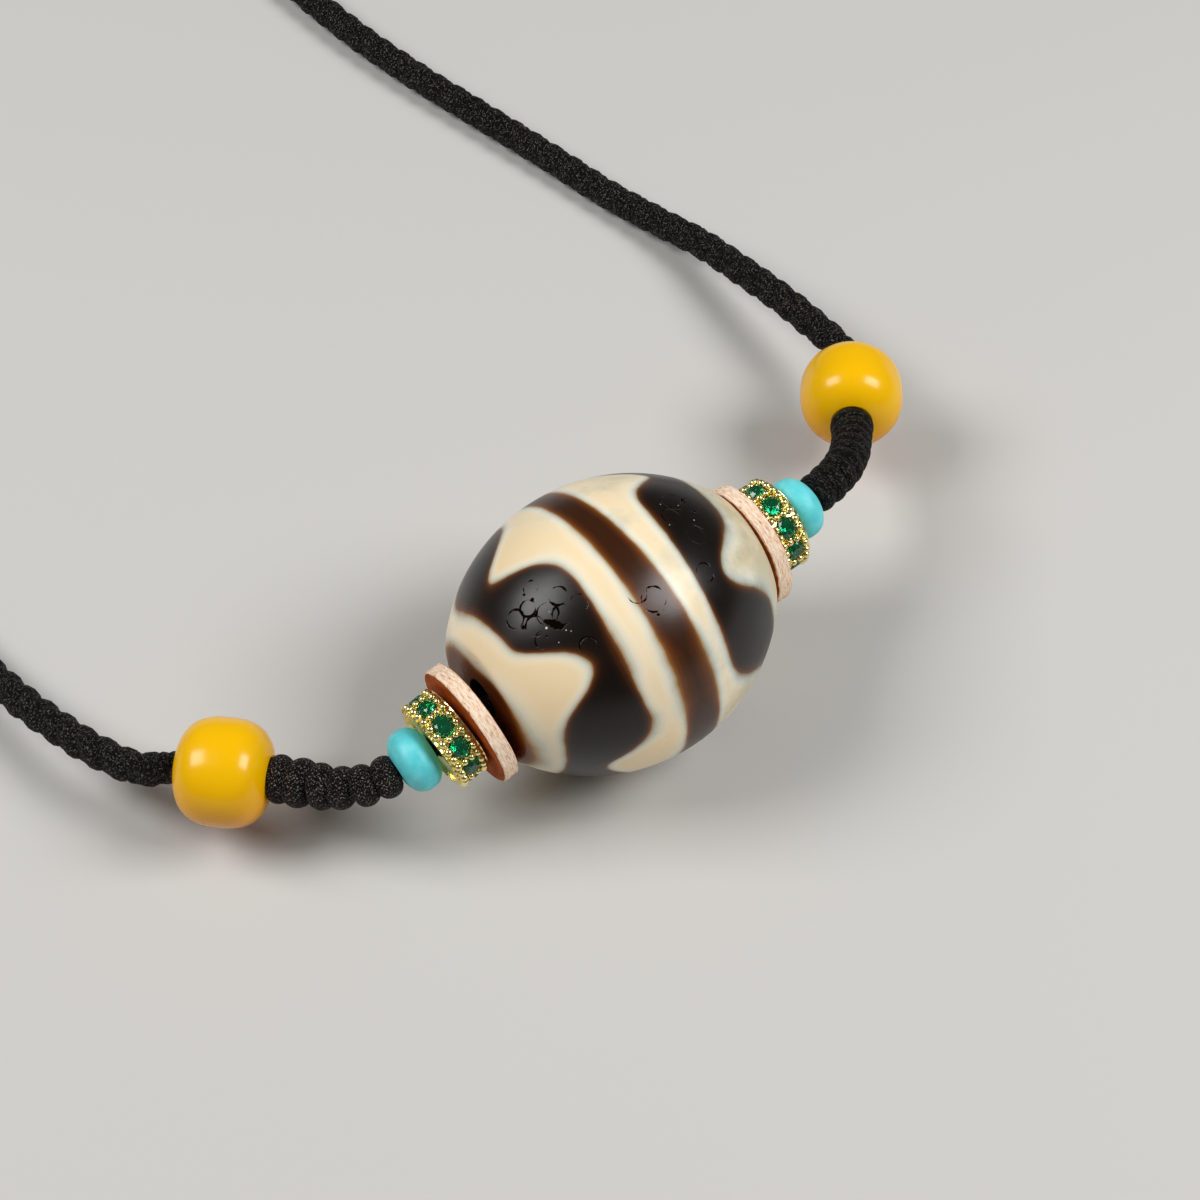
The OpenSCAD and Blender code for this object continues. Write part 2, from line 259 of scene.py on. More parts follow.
def piece(name, parts, finish, nodes=(), values=None, sharp=40):
    """Joins parts, given in millimetres, into one object that rides on the root body, stands for
    CAD nodes, and carries named values, one number or three for each of its points."""
    verts = np.concatenate([v for v, _ in parts]) * MM
    starts = np.cumsum([0] + [len(v) for v, _ in parts])
    faces = [row for (_, bs), at in zip(parts, starts) for f, _ in bs for row in (f + at).tolist()]
    uv = np.concatenate([w.reshape(-1, 2) for _, bs in parts for _, w in bs])
    mesh = bpy.data.meshes.new(name)
    mesh.from_pydata(verts.tolist(), [], faces)
    mesh.uv_layers.new(name="UVMap").data.foreach_set("uv", uv.ravel())
    for key, numbers in (values or {}).items():
        kind, slot_name = ("FLOAT", "value") if numbers.ndim == 1 else ("FLOAT_VECTOR", "vector")
        mesh.attributes.new(key, kind, "POINT").data.foreach_set(slot_name, numbers.ravel())
    mesh.materials.append(finish)
    mesh.shade_smooth()
    mesh.set_sharp_from_angle(angle=np.radians(sharp))
    made = bpy.data.objects.new(name, mesh)
    bpy.context.collection.objects.link(made)
    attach(made, "root")
    if nodes:
        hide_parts(*nodes)
    return made


def add(tree, kind, links=None, stops=None, **settings):
    """Adds a node with its settings, ramp stops and inputs; an input is a value or a socket."""
    node = tree.nodes.new("ShaderNode" + kind)
    for key, value in settings.items():
        setattr(node, key, value)
    if stops:
        bands = node.color_ramp.elements
        bands.remove(bands[1])
        bands[0].position, bands[0].color = stops[0]
        for place, colour in stops[1:]:
            bands.new(place).color = colour
    for key, value in (links or {}).items():
        if isinstance(value, bpy.types.NodeSocket):
            tree.links.new(value, node.inputs[key])
        else:
            node.inputs[key].default_value = value
    return node


STITCH_LEAN = 11.0
YARNS_IN_CM = 25
YARN_BEND = 6.0
FIBRES_IN_CM = 70
FIBRE_SHARE = 8.0


def nylon(name, columns, slant, highlight_speck):
    """Spun nylon, dyed black and tied tight: matt and near black, with fine pale specks of painted
    highlight where the stitch and fibre pattern rises. Stitches are the sine of slant radians a
    millimetre along plus a lean that swings over and back in each column round, so that they meet
    in Vs. Yarns 0.4 mm wide bend them, and fibres 0.14 mm apart, drawn coarser than real ones so
    that they show, break them up."""
    made, tree, shader = finish_of(name, {"Roughness": 0.6, "Specular IOR Level": 0.15})
    place = add(tree, "TexCoord")
    round_and_along = add(tree, "SeparateXYZ", {0: place.outputs["UV"]})
    warp = add(
        tree, "TexNoise", {"Vector": place.outputs["Object"], "Scale": YARNS_IN_CM / CM}
    )
    warp = add(
        tree,
        "Math",
        {0: warp.outputs["Fac"], 1: 2 * YARN_BEND, 2: -YARN_BEND},
        operation="MULTIPLY_ADD",
    )
    column = add(
        tree, "Math", {0: round_and_along.outputs[0], 1: columns}, operation="MULTIPLY"
    )
    column = add(tree, "Math", {0: column.outputs[0], 1: 0.5}, operation="PINGPONG")
    lean = add(
        tree,
        "Math",
        {0: column.outputs[0], 1: STITCH_LEAN, 2: warp.outputs[0]},
        operation="MULTIPLY_ADD",
    )
    phase = add(
        tree,
        "Math",
        {0: round_and_along.outputs[1], 1: slant, 2: lean.outputs[0]},
        operation="MULTIPLY_ADD",
    )
    stitch = add(tree, "Math", {0: phase.outputs[0]}, operation="SINE")
    fuzz = add(
        tree,
        "TexNoise",
        {"Vector": place.outputs["Object"], "Scale": FIBRES_IN_CM / CM, "Detail": 3.0},
    )
    height = add(
        tree,
        "Math",
        {0: fuzz.outputs["Fac"], 1: FIBRE_SHARE, 2: stitch.outputs[0]},
        operation="MULTIPLY_ADD",
    )
    bump = add(
        tree, "Bump", {"Height": height.outputs[0], "Strength": 0.9, "Distance": 0.00006}
    )
    share = add(
        tree, "MapRange", {"Value": height.outputs[0], "From Min": 2.4, "From Max": 5.9}
    )
    # Painted highlight: where the stitch and fibre pattern is highest the colour turns pale.
    lit = add(
        tree,
        "ValToRGB",
        {"Fac": share.outputs["Result"]},
        stops=[
            (0.2, linear("#020202")),
            (0.54, linear("#060505")),
            (0.7, linear("#1B1917")),
            (0.92, linear(highlight_speck)),
        ],
    )
    tree.links.new(lit.outputs["Color"], shader.inputs["Base Color"])
    tree.links.new(bump.outputs["Normal"], shader.inputs["Normal"])
    return made


braided_nylon = nylon("braided_nylon", 8, 10.0, "#6A645A")


def braid(line):
    """Four strands: strand k lies at angle +-s * 2 pi / turn + k pi from the middle line, at a
    radius that swings out and in twice a turn, out on one pair where it is in on the other."""
    s = np.arange(len(line)) * CORD_STEP
    _, across, up = frames_along(line)
    parts = []
    for k in range(4):
        sign = 1 if k < 2 else -1
        angle = sign * 2 * np.pi * s / BRAID_TURN + (k % 2) * np.pi
        out = np.cos(angle)[:, None] * across + np.sin(angle)[:, None] * up
        radius = STRAND_OUT + sign * STRAND_WEAVE * np.cos(4 * np.pi * s / BRAID_TURN)
        middle = line + radius[:, None] * out
        parts.append(swept(middle, STRAND_THICK, STRAND_WIDE, out, STRAND_SIDES))
    return parts


knot_middle = centre_of("closing_knot")
knot_half = (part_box("closing_knot")[1][0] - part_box("closing_knot")[0][0]) / 2 / MM
cords = {}
for i, name, side in SIDES:
    bead_dir = heading(side, YELLOW_YAW[i], YELLOW_DROP[i])
    exit_face = centre_of(f"yellow_bead_{name}") + bead_dir * (YELLOW_LEN / 2)
    knot_face = knot_middle + np.array([side * knot_half, 0, 0])
    stops = [exit_face - bead_dir * CORD_IN_BEAD, exit_face]
    stops += [np.array(p) / MM for p in ROUTES[i]]
    stops += [knot_face + [side * CORD_D, 0, 0], knot_face, knot_face - [side * CORD_IN_KNOT, 0, 0]]
    line = line_through(stops, CORD_STEP)
    tube = piece(f"braided_cord_{name}", braid(line), braided_nylon, [f"cord_{name}"])
    cords[name] = (tube, line, exit_face)

# Closing knot: the cords lie end to end inside nine turns of the same nylon, pulled tight round
# them, so that the necklace slides open and shut.
KNOT_WRAPS = 9
WRAP_R = 2.52
WRAP_THICK = 0.95
WRAP_WIDE = 1.02
WRAP_POINTS = 40
WRAP_SIDES = 14
TUCK = 0.75
TUCK_TURNS = 1 / 3

wrap_t = np.linspace(0, 1, KNOT_WRAPS * WRAP_POINTS + 1)
wrap_turn = 2 * np.pi * KNOT_WRAPS * wrap_t
from_end = np.minimum(wrap_t, 1 - wrap_t) * KNOT_WRAPS
wrap_r = WRAP_R - TUCK * np.clip(1 - from_end / TUCK_TURNS, 0, 1) ** 2
wrap_out = np.stack([0 * wrap_t, np.cos(wrap_turn), np.sin(wrap_turn)], 1)
wrap_x = (wrap_t - 0.5) * 2 * (knot_half - WRAP_WIDE)
wrap_line = knot_middle + wrap_out * wrap_r[:, None]
wrap_line[:, 0] += wrap_x
knot = piece(
    "closing_knot_wraps",
    [swept(wrap_line, WRAP_THICK, WRAP_WIDE, wrap_out, WRAP_SIDES)],
    braided_nylon,
    ["closing_knot"],
)
for i, name, side in SIDES:
    tube, line, exit_face = cords[name]

# Dzi bead: a fat barrel of agate, drilled from both ends and polished to a satin. Two near-black
# toothed bands and a plain brown one between them are dyed into the bleached, cream stone.
# Each band fades over a millimetre, through brown and a pale grey edge.
DZI_LEN = 28.8
DZI_ARC_R = 18.0
DZI_ARC_DROP = 4.5
DZI_BORE_R = 1.8
DZI_CHAMFER = 0.3
DZI_RIM_X = 13.6
DZI_RIM_R = 5.2
DZI_STEP = 0.14
DZI_FLAT_ROWS = 12
DZI_RIM_ROWS = 9
DZI_BORE_ROWS = 8
DZI_TURNS = 360
# Band edges as (base mm along the bead, swing mm, phase), and their teeth as (angle, tip mm,
# width), with angles in degrees from the bead's -Y side up and over.
BAND_MIDDLE = (-0.13, 0.85, 15)
BAND_HALF = (1.5, 0.36, -5)
LEFT_OUTER = (-12.2, 0.7, 20)
LEFT_OUTER_TEETH = ((50, -7.6, 18), (72, -12.85, 10), (175, -7.8, 18), (290, -7.6, 18))
LEFT_INNER = (-4.95, 0.0, 0)
LEFT_INNER_TEETH = ((117, -10.1, 15), (10, -4.05, 13), (-12, -8.4, 16), (232, -9.6, 15))
RIGHT_INNER = (4.5, 0.0, 0)
RIGHT_INNER_TEETH = ((122, 8.3, 12), (-10, 9.3, 16), (236, 8.8, 14))
RIGHT_OUTER = (11.5, 0.5, 10)
RIGHT_OUTER_TEETH = ((56, 7.6, 16), (180, 7.4, 16), (295, 7.8, 16))
END_BROWN_R = 6.4
END_BROWN_TEETH = ((105, 3.9, 45), (-15, 7.5, 28))
END_BROWN_SLOPE = 0.42
END_BROWN_MOST = 0.42
# Painted shade in the hole: inside this radius the stone's colour darkens to near black.
HOLE_SHADE_R = 2.3
HOLE_SHADE_SLOPE = 1.6
# Tints across a band's edge, at depths in millimetres from well outside it to well inside.
TINT_LOW = -1.6
TINT_SPAN = 4.0
TINT_DEPTHS = (-1.6, -0.9, -0.55, -0.25, -0.05, 0.08, 0.3, 0.65, 1.2)
DARK_TINTS = (
    "#FCEBCB", "#FBF1DB", "#ECEBE0", "#CBD1CC", "#AE9A7C", "#6E4322", "#42220C", "#201006",
    "#110904",
)
BROWN_TINTS = (
    "#FCEBCB", "#FBF1DB", "#ECEBE0", "#CDD0C8", "#B69C76", "#8C5C30", "#6A3B16", "#50290D",
    "#3A1D08",
)
# Crescent cracks, pits and painted glints (pale spots of painted highlight), as (mm along the
# bead, degrees round it, radius in mm).
CRACK_RINGS = (
    (-8.25, 94.6, 0.7), (-9.45, 87.9, 0.76), (-10.7, 88.7, 0.86), (-9.85, 78.6, 0.9),
    (-8.49, 79.4, 1.02), (-6.95, 82.8, 0.86), (-7.55, 74.9, 0.94), (-9.9, 70.5, 0.8),
    (-7.1, 57.8, 0.78), (-5.9, 75.0, 0.8), (-0.15, 61, 1.15), (-1.2, 66, 0.9), (6.2, 88, 0.95),
    (7.6, 96, 1.1), (8.9, 92, 0.9), (5.7, 60, 0.9), (7.2, 76, 1.0),
)
CRACK_PITS = (
    (-8.95, 77.0, 0.16), (-8.8, 75.6, 0.32), (-8.62, 74.0, 0.42), (-8.45, 72.4, 0.42),
    (-8.25, 70.8, 0.28), (-8.74, 89.6, 0.17), (-8.97, 94.3, 0.15), (-10.64, 82.3, 0.17),
    (-9.5, 71.0, 0.12), (-9.3, 82.4, 0.12), (0.2, 55.6, 0.12), (-0.5, 55.0, 0.1),
)
CRACK_GLINTS = (
    (-9.2, 74.4, 0.1), (-8.0, 68.4, 0.05), (-7.7, 66.9, 0.04), (-9.0, 65.6, 0.04),
    (-8.3, 79.6, 0.03), (6.2, 96.0, 0.04), (8.0, 83.0, 0.05), (5.4, 84.5, 0.04), (7.7, 93.0, 0.04),
)


def barrel_r(x):
    """Radius of the barrel at x: arc radius and drop give sqrt(R * R - x * x) - drop."""
    return np.sqrt(DZI_ARC_R**2 - x**2) - DZI_ARC_DROP


def bend(a, b, c, d, count):
    """Points on the cubic Bezier curve with the four given control points."""
    t = np.linspace(0, 1, count)[:, None]
    a, b, c, d = (np.array(p, float) for p in (a, b, c, d))
    return (1 - t) ** 3 * a + 3 * (1 - t) ** 2 * t * b + 3 * (1 - t) * t**2 * c + t**3 * d


def turned(heights, radii, turns, at, ahead):
    """An outline of heights and radii turned round a direction: point (k, a) is at + h * ahead
    + r * (cos a * level + sin a * upright). Both may differ from angle to angle."""
    across, up = square_to(ahead)
    a = np.linspace(0, 2 * np.pi, turns, endpoint=False)
    round_it = np.cos(a)[:, None] * across + np.sin(a)[:, None] * up
    h, r = (np.array(v) for v in (heights, radii))
    h, r = (v if v.ndim == 2 else np.repeat(v[:, None], turns, 1) for v in (h, r))
    return at + h[..., None] * ahead + r[..., None] * round_it


def wave(a, base, swing, phase):
    """A line that wanders round the bead: base + swing * cos(a + phase)."""
    return base + swing * np.cos(np.radians(a + phase))


def toothed(a, line, teeth):
    """The line with teeth: each adds (tip - line) * exp(-(angle off its middle / width) ** 2)."""
    plain = wave(a, *line)
    bent = plain.copy()
    for middle, tip, width in teeth:
        off = (a - middle + 180) % 360 - 180
        bent += (tip - plain) * np.exp(-((off / width) ** 2))
    return bent


def inside(x, edge, r, a, sign):
    """Distance past an edge, about sign * (x - edge) over the root of 1 + (its slope / r) ** 2."""
    slope = np.gradient(edge, np.radians(a[0]), axis=1) / r
    return sign * (x - edge) / np.sqrt(1 + slope**2)


flat = np.linspace(DZI_BORE_R + DZI_CHAMFER, DZI_RIM_R, DZI_FLAT_ROWS)
rim_r = barrel_r(DZI_RIM_X)
corner = (DZI_LEN / 2, barrel_r(DZI_LEN / 2))
rim = bend((DZI_LEN / 2, DZI_RIM_R), corner, corner, (DZI_RIM_X, rim_r), DZI_RIM_ROWS)
arc_x = np.linspace(-DZI_RIM_X, DZI_RIM_X, int(2 * DZI_RIM_X / DZI_STEP))
bore_x = np.linspace(DZI_LEN / 2 - DZI_CHAMFER, DZI_CHAMFER - DZI_LEN / 2, DZI_BORE_ROWS)
dzi_x = np.concatenate((bore_x, -DZI_LEN / 2 + 0 * flat, -rim[1:, 0], arc_x[1:-1], rim[::-1, 0]))
dzi_x = np.concatenate((dzi_x, DZI_LEN / 2 + 0 * flat[:-1]))
dzi_r = np.concatenate((DZI_BORE_R + 0 * bore_x, flat, rim[1:, 1], barrel_r(arc_x[1:-1])))
dzi_r = np.concatenate((dzi_r, rim[::-1, 1], flat[-2::-1]))
dzi_grid = turned(dzi_x, dzi_r, DZI_TURNS, centre_of("dzi_bead"), np.array([1.0, 0, 0]))
grid_x, grid_a = np.meshgrid(dzi_x, np.linspace(0, 360, DZI_TURNS, endpoint=False), indexing="ij")
grid_r = np.repeat(dzi_r[:, None], DZI_TURNS, 1)
edges = [
    (toothed(grid_a, LEFT_OUTER, LEFT_OUTER_TEETH), 1),
    (toothed(grid_a, LEFT_INNER, LEFT_INNER_TEETH), -1),
    (toothed(grid_a, RIGHT_INNER, RIGHT_INNER_TEETH), 1),
    (toothed(grid_a, RIGHT_OUTER, RIGHT_OUTER_TEETH), -1),
]
depths = [inside(grid_x, edge, grid_r, grid_a, sign) for edge, sign in edges]
dark = np.maximum(np.minimum(depths[0], depths[1]), np.minimum(depths[2], depths[3]))
brown = wave(grid_a, *BAND_HALF) - np.abs(grid_x - wave(grid_a, *BAND_MIDDLE))
cap = END_BROWN_SLOPE * (toothed(grid_a, (END_BROWN_R, 0.0, 0), END_BROWN_TEETH) - grid_r)
cap = np.minimum(cap, END_BROWN_MOST)
brown = np.where(grid_x < 0, np.maximum(brown, cap), brown)
# Painted shade: the colour darkens towards and inside the bore.
dark = np.maximum(dark, HOLE_SHADE_SLOPE * (HOLE_SHADE_R - grid_r))

# Agate, etched and dyed, then tumbled: broad soft gleams that cloud from place to place, edges
# that waver over 2 mm and spread over 8 mm, and crescent cracks broken every millimetre.
WAVERS_IN_CM = 5
EDGE_WAVER = 0.14
SPREADS_IN_CM = 1.3
CLOUDS_IN_CM = 1.6
CRACK_BREAKS_IN_CM = 9
RIPPLES_IN_CM = 4.5
# Painted shade: how fast the stone greys and darkens towards its +X end, in ramp steps a metre.
SHADE_TO_PLUS_X_BY_METRE = 20.0

etched_agate, tree, shader = finish_of("etched_agate", {})
place = add(tree, "TexCoord")
at = place.outputs["Object"]
wobble = add(tree, "TexNoise", {"Vector": at, "Scale": WAVERS_IN_CM / CM, "Detail": 2.0})
wobble = add(
    tree,
    "Math",
    {0: wobble.outputs["Fac"], 1: 2 * EDGE_WAVER, 2: -EDGE_WAVER},
    operation="MULTIPLY_ADD",
)
spread = add(tree, "TexNoise", {"Vector": at, "Scale": SPREADS_IN_CM / CM, "Detail": 1.0})
spread = add(
    tree,
    "MapRange",
    {
        "Value": spread.outputs["Fac"],
        "From Min": 0.35,
        "From Max": 0.65,
        "To Min": 0.65,
        "To Max": 1.5,
    },
)
coloured = []
for key, tints in (("dark", DARK_TINTS), ("brown", BROWN_TINTS)):
    depth = add(tree, "Attribute", attribute_name=key)
    depth = add(
        tree,
        "Math",
        {0: depth.outputs["Fac"], 1: spread.outputs["Result"], 2: wobble.outputs[0]},
        operation="MULTIPLY_ADD",
    )
    share = add(
        tree,
        "MapRange",
        {"Value": depth.outputs[0], "From Min": TINT_LOW, "From Max": TINT_LOW + TINT_SPAN},
    )
    ramp = add(
        tree,
        "ValToRGB",
        {"Fac": share.outputs["Result"]},
        stops=[((d - TINT_LOW) / TINT_SPAN, linear(t)) for d, t in zip(TINT_DEPTHS, tints)],
    )
    coloured.append((depth, ramp))
which = add(
    tree,
    "Math",
    {0: coloured[1][0].outputs[0], 1: coloured[0][0].outputs[0]},
    operation="GREATER_THAN",
)
# Dyed bands, together with the painted shade of the hole.
dye_and_hole_shade = add(
    tree,
    "Mix",
    {0: which.outputs[0], 6: coloured[0][1].outputs["Color"], 7: coloured[1][1].outputs["Color"]},
    data_type="RGBA",
)
cloud = add(
    tree,
    "TexNoise",
    {"Vector": at, "Scale": CLOUDS_IN_CM / CM, "Detail": 4.0, "Roughness": 0.6},
)
# Cloudy tone of the stone, plus painted shade that greys and darkens it towards +X.
sides = add(tree, "SeparateXYZ", {0: at})
tone_and_shade = add(
    tree,
    "Math",
    {0: sides.outputs[0], 1: SHADE_TO_PLUS_X_BY_METRE, 2: cloud.outputs["Fac"]},
    operation="MULTIPLY_ADD",
)
tone_and_shade_tint = add(
    tree,
    "ValToRGB",
    {"Fac": tone_and_shade.outputs[0]},
    stops=[
        (0.3, linear("#FFF6E6")),
        (0.5, linear("#FBF8F0")),
        (0.6, linear("#ECEDE8")),
        (0.75, linear("#CFD2CA")),
    ],
)
clouded_and_shaded = add(
    tree,
    "Mix",
    {0: 1.0, 6: dye_and_hole_shade.outputs[2], 7: tone_and_shade_tint.outputs["Color"]},
    data_type="RGBA",
    blend_type="MULTIPLY",
)
broken = add(
    tree, "TexNoise", {"Vector": at, "Scale": CRACK_BREAKS_IN_CM / CM, "Detail": 2.0}
)
width = add(
    tree,
    "MapRange",
    {
        "Value": broken.outputs["Fac"],
        "From Min": 0.44,
        "From Max": 0.64,
        "To Min": -0.00003,
        "To Max": 0.0001,
    },
)
ragged = add(
    tree, "Math", {0: broken.outputs["Fac"], 1: 0.0006, 2: -0.0003}, operation="MULTIPLY_ADD"
)
masks = []
for spots, kind in ((CRACK_RINGS, "ring"), (CRACK_PITS, "pit"), (CRACK_GLINTS, "glint")):
    nearest = None
    for x, a, r in spots:
        turn = np.radians(a)
        out = barrel_r(x) * np.array([0, -np.cos(turn), np.sin(turn)])
        spot = (centre_of("dzi_bead") + [x, 0, 0] + out) * MM
        away = add(tree, "VectorMath", {0: at, 1: spot.tolist()}, operation="DISTANCE")
        away = add(tree, "Math", {0: away.outputs["Value"], 1: r * MM}, operation="SUBTRACT")
        if kind == "ring":
            away = add(tree, "Math", {0: away.outputs[0]}, operation="ABSOLUTE")
        if nearest:
            away = add(
                tree, "Math", {0: nearest.outputs[0], 1: away.outputs[0]}, operation="MINIMUM"
            )
        nearest = away
    edge = {"ring": width.outputs["Result"], "pit": ragged.outputs[0], "glint": 0.0}[kind]
    within = add(tree, "Math", {0: edge, 1: nearest.outputs[0]}, operation="SUBTRACT")
    masks.append(
        add(
            tree,
            "MapRange",
            {"Value": within.outputs[0], "From Min": -0.00003, "From Max": 0.00004},
        )
    )
crack = add(
    tree,
    "Math",
    {0: masks[0].outputs["Result"], 1: masks[1].outputs["Result"]},
    operation="MAXIMUM",
)
cracked = add(
    tree,
    "Mix",
    {0: crack.outputs[0], 6: clouded_and_shaded.outputs[2], 7: linear("#0E0805")},
    data_type="RGBA",
)
# Painted highlight: pale glint spots mixed into the colour.
glints_painted = add(
    tree,
    "Mix",
    {0: masks[2].outputs["Result"], 6: cracked.outputs[2], 7: linear("#E9E1D4")},
    data_type="RGBA",
)
ripple = add(tree, "TexNoise", {"Vector": at, "Scale": RIPPLES_IN_CM / CM, "Detail": 5.0})
height = add(
    tree, "Math", {0: ripple.outputs["Fac"], 1: 0.35, 2: 1.0}, operation="MULTIPLY_ADD"
)
height = add(tree, "Math", {0: height.outputs[0], 1: crack.outputs[0]}, operation="SUBTRACT")
bump = add(tree, "Bump", {"Height": height.outputs[0], "Strength": 0.5, "Distance": 0.00006})
gloss = add(
    tree,
    "MapRange",
    {
        "Value": cloud.outputs["Fac"],
        "From Min": 0.3,
        "From Max": 0.7,
        "To Min": 0.26,
        "To Max": 0.35,
    },
)
shine = add(tree, "MapRange", {"Value": crack.outputs[0], "To Min": 0.38, "To Max": 0.0})
tree.links.new(shine.outputs["Result"], shader.inputs["Specular IOR Level"])
tree.links.new(glints_painted.outputs[2], shader.inputs["Base Color"])
tree.links.new(gloss.outputs["Result"], shader.inputs["Roughness"])
tree.links.new(bump.outputs["Normal"], shader.inputs["Normal"])
piece(
    "dzi_bead_etched",
    [grid_part(dzi_grid, wrap_rows=True)],
    etched_agate,
    ["dzi_bead"],
    values={"dark": dark.ravel(), "brown": brown.ravel()},
)

# Leather washers: red-brown discs of tanned hide, cut from a 1.6 mm skin. The cut edge is raw and
# pale with loose fibres, and each disc is pinched a little between the bead and its ring.
WASHER_R = 6.1
WASHER_T = 1.6
WASHER_BORE_R = 1.25
WASHER_YAW = (-2.5, 1)
WASHER_DROP = (8, -1)
WASHER_TURNS = 180
# The disc's section: shares of half its thickness and of its width, and how raw it is there.
WASHER_OUTLINE = (
    (-1, 0, 0), (-1, 0.4, 0), (-1, 0.8, 0), (-1, 0.97, 0.35), (-0.85, 1, 1), (-0.4, 1, 1),
    (0, 1, 1), (0.4, 1, 1), (0.85, 1, 1), (1, 0.97, 0.35), (1, 0.8, 0), (1, 0.4, 0), (1, 0, 0),
    (0, 0, 0),
)
CUT_WANDER = 0.12
CUT_FRAY = 0.02
FACE_LIFT = 0.06
FIBRES_ALONG = 8
FIBRES_ACROSS = 8
FIBRES_INWARD = 6
GRAINS_IN_CM = 13

# Vegetable-tanned cowhide, cut by hand: a dull red-brown skin with a grain of 0.8 mm, and a raw
# cut edge, pale, fibrous and frayed, with fibres that lie along it.
tanned_hide, tree, shader = finish_of("tanned_hide", {"Specular IOR Level": 0.06})
at = add(tree, "TexCoord").outputs["Object"]
grain = add(
    tree,
    "TexNoise",
    {"Vector": at, "Scale": GRAINS_IN_CM / CM, "Detail": 4.0, "Roughness": 0.6},
)
face = add(
    tree,
    "ValToRGB",
    {"Fac": grain.outputs["Fac"]},
    stops=[(0.3, linear("#8A3A10")), (0.55, linear("#AB501A")), (0.75, linear("#C4682A"))],
)
layers = add(tree, "Attribute", attribute_name="layers")
fibre = add(
    tree,
    "TexNoise",
    {"Vector": layers.outputs["Vector"], "Scale": 1.0, "Detail": 3.0, "Roughness": 0.65},
)
flesh = add(
    tree,
    "ValToRGB",
    {"Fac": fibre.outputs["Fac"]},
    stops=[
        (0.3, linear("#A9744E")),
        (0.4, linear("#E6BE9C")),
        (0.52, linear("#F8DEC4")),
        (0.75, linear("#FFF5E8")),
    ],
)
raw = add(tree, "Attribute", attribute_name="cut")
raw = add(
    tree,
    "Math",
    {0: grain.outputs["Fac"], 1: 0.5, 2: raw.outputs["Fac"]},
    operation="MULTIPLY_ADD",
)
raw = add(tree, "MapRange", {"Value": raw.outputs[0], "From Min": 0.72, "From Max": 0.9})
tint = add(
    tree,
    "Mix",
    {0: raw.outputs["Result"], 6: face.outputs["Color"], 7: flesh.outputs["Color"]},
    data_type="RGBA",
)
dull = add(tree, "MapRange", {"Value": raw.outputs["Result"], "To Min": 0.6, "To Max": 0.9})
rise = add(
    tree,
    "Mix",
    {0: raw.outputs["Result"], 2: grain.outputs["Fac"], 3: fibre.outputs["Fac"]},
)
bump = add(tree, "Bump", {"Height": rise.outputs[0], "Strength": 0.6, "Distance": 0.0001})
tree.links.new(tint.outputs[2], shader.inputs["Base Color"])
tree.links.new(dull.outputs["Result"], shader.inputs["Roughness"])
tree.links.new(bump.outputs["Normal"], shader.inputs["Normal"])

rng = np.random.default_rng(7)
for i, name, side in SIDES:
    h, r, cut = np.array(WASHER_OUTLINE, float).T
    h = h * WASHER_T / 2
    r = WASHER_BORE_R + r * (WASHER_R - WASHER_BORE_R)
    angle = np.linspace(0, 2 * np.pi, WASHER_TURNS, endpoint=False)
    lift, rough = (
        sum(
            rng.uniform(0.2, 1) / m * np.cos(m * angle + rng.uniform(0, 6))
            for m in (3, 5, 8, 13, 21)
        )
        for _ in range(2)
    )
    jag = rng.normal(0, CUT_FRAY, (len(h), WASHER_TURNS))
    radii = r[:, None] + cut[:, None] * (CUT_WANDER * rough[None] + jag)
    heights = h[:, None] + FACE_LIFT * (r[:, None] / WASHER_R) ** 2 * lift[None]
    grid = turned(
        heights, radii, WASHER_TURNS, centre_of(f"leather_washer_{name}"),
        heading(side, WASHER_YAW[i], WASHER_DROP[i]),
    )
    rounds = np.stack([np.cos(angle), np.sin(angle)], -1) * FIBRES_ALONG
    rounds = np.broadcast_to(rounds, (len(h), *rounds.shape))
    stacked = np.repeat((FIBRES_ACROSS * h + FIBRES_INWARD * r)[:, None], WASHER_TURNS, 1)
    layers = np.concatenate((stacked[..., None], rounds), -1)
    piece(
        f"leather_washer_cut_{name}",
        [grid_part(grid, wrap_rows=True)],
        tanned_hide,
        [f"leather_washer_{name}"],
        values={"cut": np.repeat(cut, WASHER_TURNS), "layers": layers.reshape(-1, 3)},
    )

# Stone rings: cast brass, gilt and polished. A drilled drum has ten round seats, and rows of beaded
# grains run round both rims and stand between the seats.
RING_W = 3.3
RING_LIP = 0.15
RING_R = 4.3
RING_BORE_R = 1.25
RING_DISH_R = 3.64
RING_DISH = 0.35
DISH_BEVEL = 0.06
RIM_BEVEL = 0.14
RIM_EDGE = 0.02
WALL_IN = 0.2
WALL_ROWS = 34
RING_YAW = (-4, 1.5)
RING_DROP = (10.5, -3)
RING_TURNS = 360
GRAIN_R = 0.385
BAR_GRAIN_R = 0.345
BAR_GRAIN_RISE = 0.38
GRAIN_SIDES = 14
GRAIN_ROWS = 9
STONES = 10
GRAINS_PER_STONE = 3
STONE_TURN = (22, 6)
SEAT_R = 1.08
SEAT_DEEP = 0.8
SEAT_EDGE = 0.12
DRUM_R = 4.08
CAST_BUMPS_IN_CM = 12

# Brass, cast, gilt and tumbled: a pale gold that mirrors softly, with a faint cast unevenness
# 0.8 mm across that breaks the gleam on each grain.
gilt_brass, tree, shader = finish_of(
    "gilt_brass", {"Base Color": linear("#FFEFA6"), "Metallic": 1.0, "Roughness": 0.25}
)
at = add(tree, "TexCoord").outputs["Object"]
cast = add(tree, "TexNoise", {"Vector": at, "Scale": CAST_BUMPS_IN_CM / CM, "Detail": 2.0})
bump = add(tree, "Bump", {"Height": cast.outputs["Fac"], "Strength": 0.2, "Distance": 0.00004})
tree.links.new(bump.outputs["Normal"], shader.inputs["Normal"])


